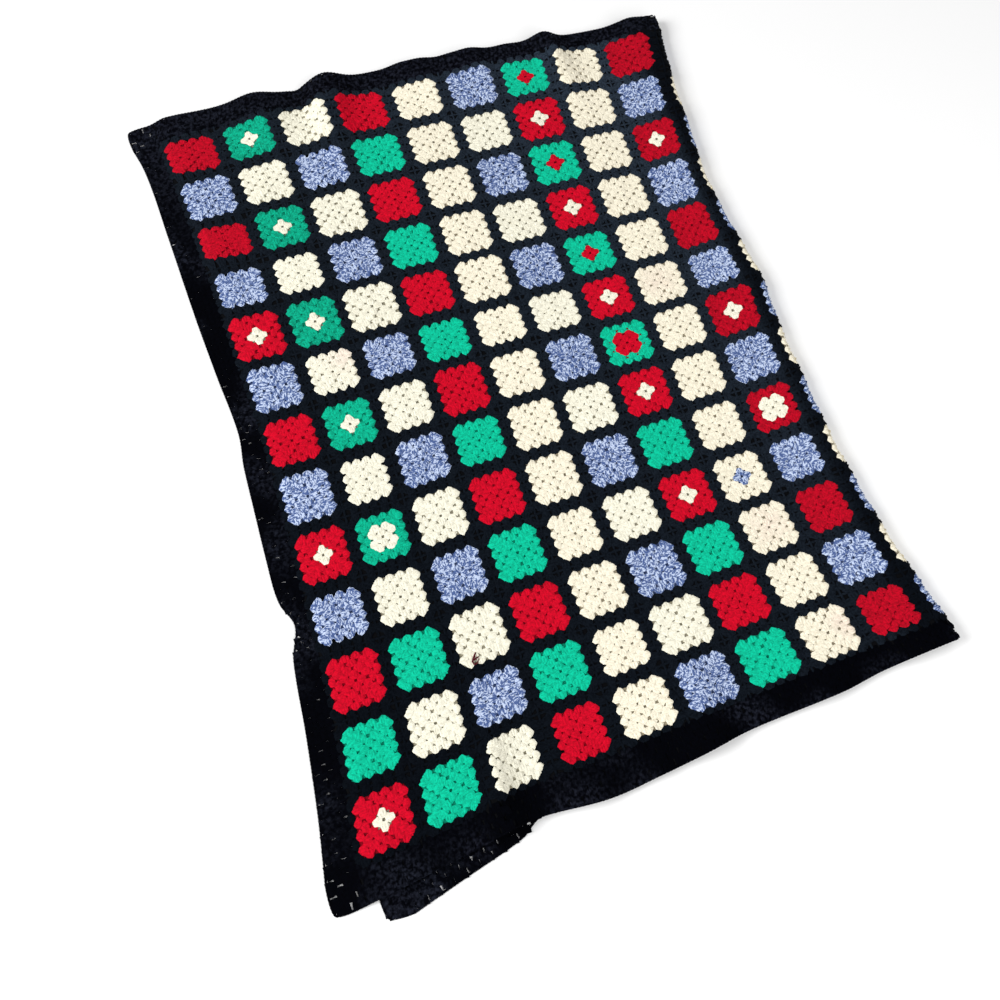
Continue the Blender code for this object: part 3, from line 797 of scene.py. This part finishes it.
def highlight_nodes(tree, dye):
    """Painted highlights on clusters of the border that catch the light, most of all along the head."""
    place = node(tree, "ShaderNodeTexCoord", -1500, 300)
    masks = []
    for k, (scale, low, high) in enumerate(HIGHLIGHT_NOISES):
        noise = node(tree, "ShaderNodeTexNoise", -1300, 400 - 300 * k, {"Scale": scale, "Detail": 1.0})
        mask = soft_step(tree, -1100, 400 - 300 * k, low, high)
        wire(tree, (place, "Object", noise, "Vector"), (noise, "Fac", mask, "Value"))
        masks.append(mask)
    split = node(tree, "ShaderNodeSeparateXYZ", -1300, -200)
    head = soft_step(tree, -1100, -200, *HEAD_HIGHLIGHTS)
    broad = maths(tree, -1000, 0, "MAXIMUM")
    both = maths(tree, -850, 200, "MULTIPLY")
    mix = blended(tree, dye, BORDER_HIGHLIGHTS)
    wire(tree, (place, "Object", split, 0), (split, "Y", head, "Value"), (head, "Result", broad, 0),
         (masks[1], "Result", broad, 1), (masks[0], "Result", both, 0), (broad, 0, both, 1),
         (both, 0, mix, "Factor"))


def painted_light_nodes(tree, dye):
    """Painted light: black that is paler towards the head and the fold, but not on the fold itself."""
    place = node(tree, "ShaderNodeTexCoord", -1900, 300)
    way = node(tree, "ShaderNodeVectorMath", -1700, 300, {1: PAINTED_LIGHT_WAY}, operation="DOT_PRODUCT")
    growth = maths(tree, -1500, 300, "EXPONENT")
    ends = {"From Min": PAINTED_LIGHT_GROWTH[0], "From Max": PAINTED_LIGHT_GROWTH[1]}
    painted_light = node(tree, "ShaderNodeMapRange", -1300, 300, ends)
    split = node(tree, "ShaderNodeSeparateXYZ", -1700, 0)
    inside = soft_step(tree, -1300, 0, *PAINTED_LIGHT_STOPS)
    both = maths(tree, -1000, 200, "MULTIPLY")
    mix = blended(tree, dye, PAINTED_LIGHT_BLACK)
    wire(tree, (place, "Object", way, 0), (way, "Value", growth, 0), (growth, 0, painted_light, "Value"),
         (place, "Object", split, 0), (split, "X", inside, "Value"), (painted_light, "Result", both, 0),
         (inside, "Result", both, 1), (both, 0, mix, "Factor"))


def stain_nodes(tree, dye):
    """Faint pink where the yarn is stained, in soft patches."""
    stain = node(tree, "ShaderNodeAttribute", -1100, 500, attribute_name="stain")
    place = node(tree, "ShaderNodeTexCoord", -1300, 300)
    patches = node(tree, "ShaderNodeTexNoise", -1100, 300, {"Scale": STAIN_PATCHES})
    depth = maths(tree, -850, 400, "MULTIPLY")
    mix = blended(tree, dye, STAIN_PINK)
    wire(tree, (place, "Object", patches, "Vector"), (stain, "Fac", depth, 0),
         (patches, "Fac", depth, 1), (depth, 0, mix, "Factor"))


def matt_material(name, roughness, specular):
    """A matt material, its node tree and its shader."""
    material = bpy.data.materials.new(name)
    material.use_nodes = True
    shader = material.node_tree.nodes["Principled BSDF"]
    shader.inputs["Roughness"].default_value = roughness
    shader.inputs["Specular IOR Level"].default_value = specular
    return material, material.node_tree, shader


def dye_node(tree, colour, shadow, amount):
    """The uneven dye, placed in a material with its two colours."""
    values = {"Colour": (*colour, 1.0), "Shadow": (*shadow, 1.0), "Amount": amount, "Streak": 0.5}
    return node(tree, "ShaderNodeGroup", -400, 100, values, node_tree=GROUPS["lot"])


def yarn_material(name):
    """One yarn: its dye, its twist as bump, and what is particular to it."""
    palette = YARNS[name]
    specular = BLACK_SPECULAR if "black" in name else YARN_SPECULAR
    material, tree, shader = matt_material(f"{name} yarn", YARN_ROUGHNESS, specular)
    shader.inputs["Sheen Weight"].default_value = 0.0 if name == "shaded black" else YARN_SHEEN
    shader.inputs["Sheen Roughness"].default_value = 0.4
    plies = 2.0 if name == "blue" else 3.0
    twist = node(tree, "ShaderNodeGroup", -900, -300, {"Plies": plies}, node_tree=GROUPS["twist"])
    streaks = node(tree, "ShaderNodeGroup", -1100, 0, node_tree=GROUPS["streak"])
    dye = dye_node(tree, palette.colour, palette.dark, DYE_AND_SHADE_AMOUNTS.get(name, FULL_DYE_AND_SHADE))
    bump = node(tree, "ShaderNodeBump", -250, -300, {"Strength": 0.35, "Distance": 0.0006})
    if name in ("red", "green"):
        tone = node(tree, "ShaderNodeAttribute", -900, 300, attribute_name="tone")
        wire(tree, (tone, "Fac", dye, "Tone"))
    if name == "blue":
        marl_nodes(tree, dye, streaks)
    # painted light on the joins' black
    if name == "black":
        painted_light_nodes(tree, dye)
    # painted shade: the border's darker black
    if name == "shaded black":
        # painted highlights on the border's clusters
        highlight_nodes(tree, dye)
    if name in ("ivory", "cream"):
        stain_nodes(tree, dye)
    wire(tree, (streaks, "Streak", dye, "Streak"), (dye, "Colour", shader, "Base Color"),
         (twist, "Height", bump, "Height"), (bump, "Normal", shader, "Normal"))
    return material


MATERIALS = {name: yarn_material(name) for name in YARNS}


def squares_of(strips):
    """Every square of these strips, counted from 0."""
    return [(strip, row) for strip in strips for row in range(ROWS)]


def coloured_squares(strips, label, inner_fan, edge_fan):
    """The coloured rounds of the squares in these strips, one piece for each yarn."""
    parts = {}
    for number in range(1, COLOUR_ROUNDS + 1):
        template = round_runs(number, edge_fan if number == COLOUR_ROUNDS else inner_fan)
        by_yarn = {}
        for strip, row in squares_of(strips):
            by_yarn.setdefault(yarn_of(strip, row, number), []).append((strip, row))
        for yarn, squares in by_yarn.items():
            for runs in template.values():
                parts.setdefault(yarn, []).append(swept(laid_runs(runs, squares)))
    pieces = []
    for yarn, yarn_parts in parts.items():
        piece = mesh_piece(f"{yarn}_{label}", yarn_parts, MATERIALS[yarn])
        pieces.append(piece)
    return pieces


def black_rounds(strips, label, fan):
    """The last, black round of every square of these strips, in one piece."""
    template = round_runs(COLOUR_ROUNDS + 1, fan)
    parts = [swept(laid_runs(runs, squares_of(strips))) for runs in template.values()]
    piece = mesh_piece(f"black_rounds_{label}", parts, MATERIALS["black"])
    return piece


def chain_links(start, end):
    """A line of chain links between two places, given in squares."""
    start, end = np.array(start, dtype=float), np.array(end, dtype=float)
    length = np.linalg.norm(end - start)
    way = (end - start) / length
    count = round(length / (LINK_PITCH * MM))
    pitch_here = length / count
    slant = np.array([-way[1], way[0]]) * 0.5 * MM
    reach = way * pitch_here * 1.1 + slant
    runs = []
    for k in range(count):
        middle = start + way * (k + 0.5) * pitch_here
        runs.append([
            (*(middle + reach * ring.along), ring.height, ring.across, ring.thick) for ring in LINK
        ])
    return runs


def seam_stitches():
    """Slip stitches over every join between two squares of the upper layer and the fold."""
    runs = []
    for line in range(1, TOP_STRIPS + 1):
        runs += chain_links((line, 0.0), (line, ROWS))
    for line in range(1, ROWS):
        runs += chain_links((0.0, line), (TOP_STRIPS + 0.9, line))
    piece = mesh_piece("joining_stitches", [swept(np.array(runs))], MATERIALS["black"])
    return piece


def border_side(side, number):
    """The fans of one border round along one edge, as runs in millimetres from the field's middle."""
    half_long = (STRIPS if side in (0, 2) else ROWS) * HALF_SQUARE
    half_wide = (ROWS if side in (0, 2) else STRIPS) * HALF_SQUARE
    inner, outer = BORDER_ROUND * number, BORDER_ROUND * (number + 1)
    first_count = round(2.0 * (half_long + BORDER_ROUND - CORNER_FAN) / BORDER_FAN_PITCH) + 1
    places = side_places(half_long + inner, half_long + outer, first_count + number, half_wide - half_long)
    runs = {}
    for base_x, base_r, top_x in places:
        for run in fan_runs((base_x, base_r), (top_x, half_wide + outer), BORDER_FAN):
            laid = [(*turned(side, x, r), h, w, t) for x, r, h, w, t in run]
            runs.setdefault(len(laid), []).append(laid)
    return runs.values()


def edge_links():
    """The chain that finishes the border's outer edge."""
    low, far_strip, far_row = -EDGE_CHAIN * MM, STRIPS + EDGE_CHAIN * MM, ROWS + EDGE_CHAIN * MM
    corners = ((low, low), (far_strip, low), (far_strip, far_row), (low, far_row), (low, low))
    return [run for start, end in zip(corners, corners[1:]) for run in chain_links(start, end)]


def stray_thread():
    """A short end of maroon thread caught in one ivory square."""
    loop = [(2.36, 10.73, 2.8, 0.9, 0.7), (2.31, 10.79, 3.6, 1.5, 1.1), (2.27, 10.85, 3.9, 1.6, 1.2),
            (2.285, 10.90, 3.6, 1.5, 1.1), (2.34, 10.89, 3.4, 1.3, 1.0), (2.38, 10.84, 2.6, 0.8, 0.6)]
    end = [(2.30, 10.84, 3.8, 1.2, 0.9), (2.34, 10.82, 4.0, 1.3, 1.0), (2.39, 10.81, 3.0, 0.7, 0.5)]
    return mesh_piece("stray_thread", [swept(np.array([run])) for run in (loop, end)], MATERIALS["maroon"])


def crocheted_border():
    """The openwork border, round after round, in one piece for each layer."""
    groups = [np.array(edge_links())]
    for number in range(BORDER_ROUNDS):
        for side in range(4):
            for runs in border_side(side, number):
                runs = np.array(runs)
                runs[..., :2] += rng.normal(0.0, HAND_JITTER, (len(runs), 1, 2))
                runs[..., 3] *= FULL_FAN - GAP_SHARE * rng.uniform(0.0, 1.0, runs.shape[:2]) ** 5
                runs[..., :2] = runs[..., :2] * MM + np.array([STRIPS / 2, ROWS / 2])
                groups.append(runs)
    pieces = []
    for label, below in (("upper", False), ("under", True)):
        chosen = [runs[(runs[:, 0, 0] > (FOLD_START + FOLD_END) / 2) == below] for runs in groups]
        parts = [swept(runs) for runs in chosen if len(runs)]
        piece = mesh_piece(f"border_{label}", parts, MATERIALS["shaded black"])
        pieces.append(piece)
    return pieces


def round_at(reach):
    """Which round of a square lies this far from its middle, in millimetres."""
    for number in range(1, COLOUR_ROUNDS + 1):
        inset = EDGE_INSET if number == COLOUR_ROUNDS else 0.0
        if reach <= ROUND_RADII[number] - inset:
            return number
    return COLOUR_ROUNDS + 1


def shade_sheet():
    """A thin sheet of painted shade behind the small gaps between the fans, folded as the panel is."""
    edge = (100.0 - 2 * ROUND_RADII[COLOUR_ROUNDS]) / 2
    fine = [0.0, edge, edge + 11, 33.0, 44.0, 56.0, 67.0, 100 - edge - 11, 100.0 - edge]
    rows = {round(row + f * MM, 4) for row in range(ROWS) for f in fine}
    rows = sorted(rows | {-SHADE_SHEET_REACH, -0.2, float(ROWS), ROWS + 0.2, ROWS + SHADE_SHEET_REACH})
    strips = {round(strip + f * MM, 4) for strip in range(TOP_STRIPS) for f in fine}
    strips |= {9.0, 9.05} | {FOLD_START + (FOLD_END - FOLD_START) * k / 10 for k in range(11)}
    coarse = [0.0, edge, 100.0 - edge]
    strips |= {round(strip + f * MM, 4) for strip in PLAIN_STRIPS for f in coarse}
    strips |= {round(10.0 - edge * MM, 4), float(STRIPS)}
    strips = sorted(strips)
    grid_strip, grid_row = np.meshgrid(np.array(strips), np.array(rows), indexing="ij")
    point, normal = cloth_frame(grid_strip, grid_row)
    level = point - normal * SHADE_SHEET_DEPTH
    level[..., 2] = np.maximum(level[..., 2], SHADE_SHEET_LOWEST)
    number = np.arange(level[..., 0].size).reshape(grid_strip.shape)
    corners = [number[:-1, :-1], number[:-1, 1:], number[1:, 1:], number[1:, :-1]]
    faces = np.stack(corners, axis=-1).reshape(-1, 4)

    mid_strip = (grid_strip[:-1, :-1] + grid_strip[1:, 1:]).ravel() / 2
    mid_row = (grid_row[:-1, :-1] + grid_row[1:, 1:]).ravel() / 2
    kept = (np.abs(mid_row - ROWS / 2) < ROWS / 2) | (mid_strip < FOLD_END)
    faces, mid_strip, mid_row = faces[kept], mid_strip[kept], mid_row[kept]
    used, faces = np.unique(faces, return_inverse=True)

    mesh = bpy.data.meshes.new("shade_sheet")
    mesh.from_pydata(level.reshape(-1, 3)[used].tolist(), [], faces.reshape(-1, 4).tolist())
    names = [name for name in YARNS if name not in ("maroon", "shaded black")]
    for name in names:
        mesh.materials.append(shade_sheet_material(name))
    colours = []
    for strip, row in zip(mid_strip, mid_row):
        wide, long, lean = stretch_of(int(strip), int(row))
        across = (strip % 1.0 - 0.5) / wide
        reach = max(abs(across), abs(row % 1.0 - 0.5 - lean * across) / long) / MM
        if not 0.0 < row < ROWS:
            reach = HALF_SQUARE
        yarn = yarn_of(int(strip), min(int(row), ROWS - 1), round_at(reach))
        colours.append(names.index(yarn))
    mesh.polygons.foreach_set("material_index", np.array(colours, dtype=np.int32))
    mesh.shade_smooth()
    net = added("shade_sheet", mesh)
    body = net.modifiers.new("net thickness", "SOLIDIFY")
    body.thickness = SHADE_SHEET_THICK
    body.offset = 0.0
    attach(net, "root")
    return net


def shade_sheet_material(name):
    """Painted shade under the stitches of one yarn, in the yarn's dark colour."""
    dark = YARNS[name].dark
    # painted shade: a yarn's dark colour, darker still in places
    material, tree, shader = matt_material(f"{name} ground", 0.95, YARN_SPECULAR)
    dye = dye_node(tree, dark, [0.5 * part for part in dark], 0.5)
    wire(tree, (dye, "Colour", shader, "Base Color"))
    return material


def floor():
    """A plain pale floor, a hair under the surface that the blanket lies on."""
    bpy.ops.mesh.primitive_plane_add(size=14.0, location=(0.0, 0.0, -0.0005))
    ground = bpy.context.object
    ground.name = "studio_floor"
    material, tree, shader = matt_material("pale floor", 0.9, 0.1)
    shader.inputs["Base Color"].default_value = FLOOR_COLOUR
    ground.data.materials.append(material)


def soft_light(name, place, aim, size, power):
    """A large, soft lamp, turned to the place it lights."""
    data = bpy.data.lights.new(name, "AREA")
    data.shape = "RECTANGLE"
    data.size, data.size_y = size
    data.energy = power
    lamp = added(name, data)
    lamp.location = place
    lamp.rotation_euler = (Vector(aim) - Vector(place)).to_track_quat("-Z", "Y").to_euler()


def lights():
    """A white room, a window from the left and a weaker light from the foot."""
    world = bpy.data.worlds.new("studio")
    world.use_nodes = True
    background = world.node_tree.nodes["Background"]
    background.inputs["Color"].default_value = (1.0, 1.0, 1.0, 1.0)
    background.inputs["Strength"].default_value = WORLD_STRENGTH
    bpy.context.scene.world = world
    soft_light("window", (-4.2, 0.6, 3.0), (0.0, 0.0, 0.0), (2.4, 2.4), 240.0)
    soft_light("fill", (1.3, -2.8, 2.6), (0.3, -0.1, 0.0), (2.6, 2.6), 74.0)


def camera():
    """The view: from above the foot end, a little to the open side, and rolled."""
    place = Vector((-0.3085, -0.6731, 1.4752)) + Vector(ORIGIN_SHIFT)
    look = Vector((0.1342, 0.3010, -0.9441))
    right = Vector((0.9476, -0.3176, 0.0334))
    up = right.cross(look)
    data = bpy.data.cameras.new("view")
    data.sensor_width = 36.0
    data.lens = 34.35
    view = added("view", data)
    view.matrix_world = Matrix.Translation(place) @ Matrix((right, up, -look)).transposed().to_4x4()
    bpy.context.scene.camera = view


def main():
    """The studio, the sheet of painted shade, the stitches on it, and what stands for which solid."""
    bpy.context.scene.view_settings.view_transform = "Standard"
    camera()
    lights()
    floor()
    net = shade_sheet()
    on_it = coloured_squares(FINE_STRIPS, "squares", PLAIN_FAN, EDGE_FAN)
    on_it += coloured_squares(PLAIN_STRIPS, "squares_under", TUFT_FAN, TUFT_FAN)
    on_it.append(black_rounds(FINE_STRIPS, "upper", PLAIN_FAN))
    on_it.append(black_rounds(PLAIN_STRIPS, "under", TUFT_FAN))
    on_it += [seam_stitches(), stray_thread()]
    border = crocheted_border()
    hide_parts("squares_panel")
    for piece in border:
        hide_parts("border")


main()
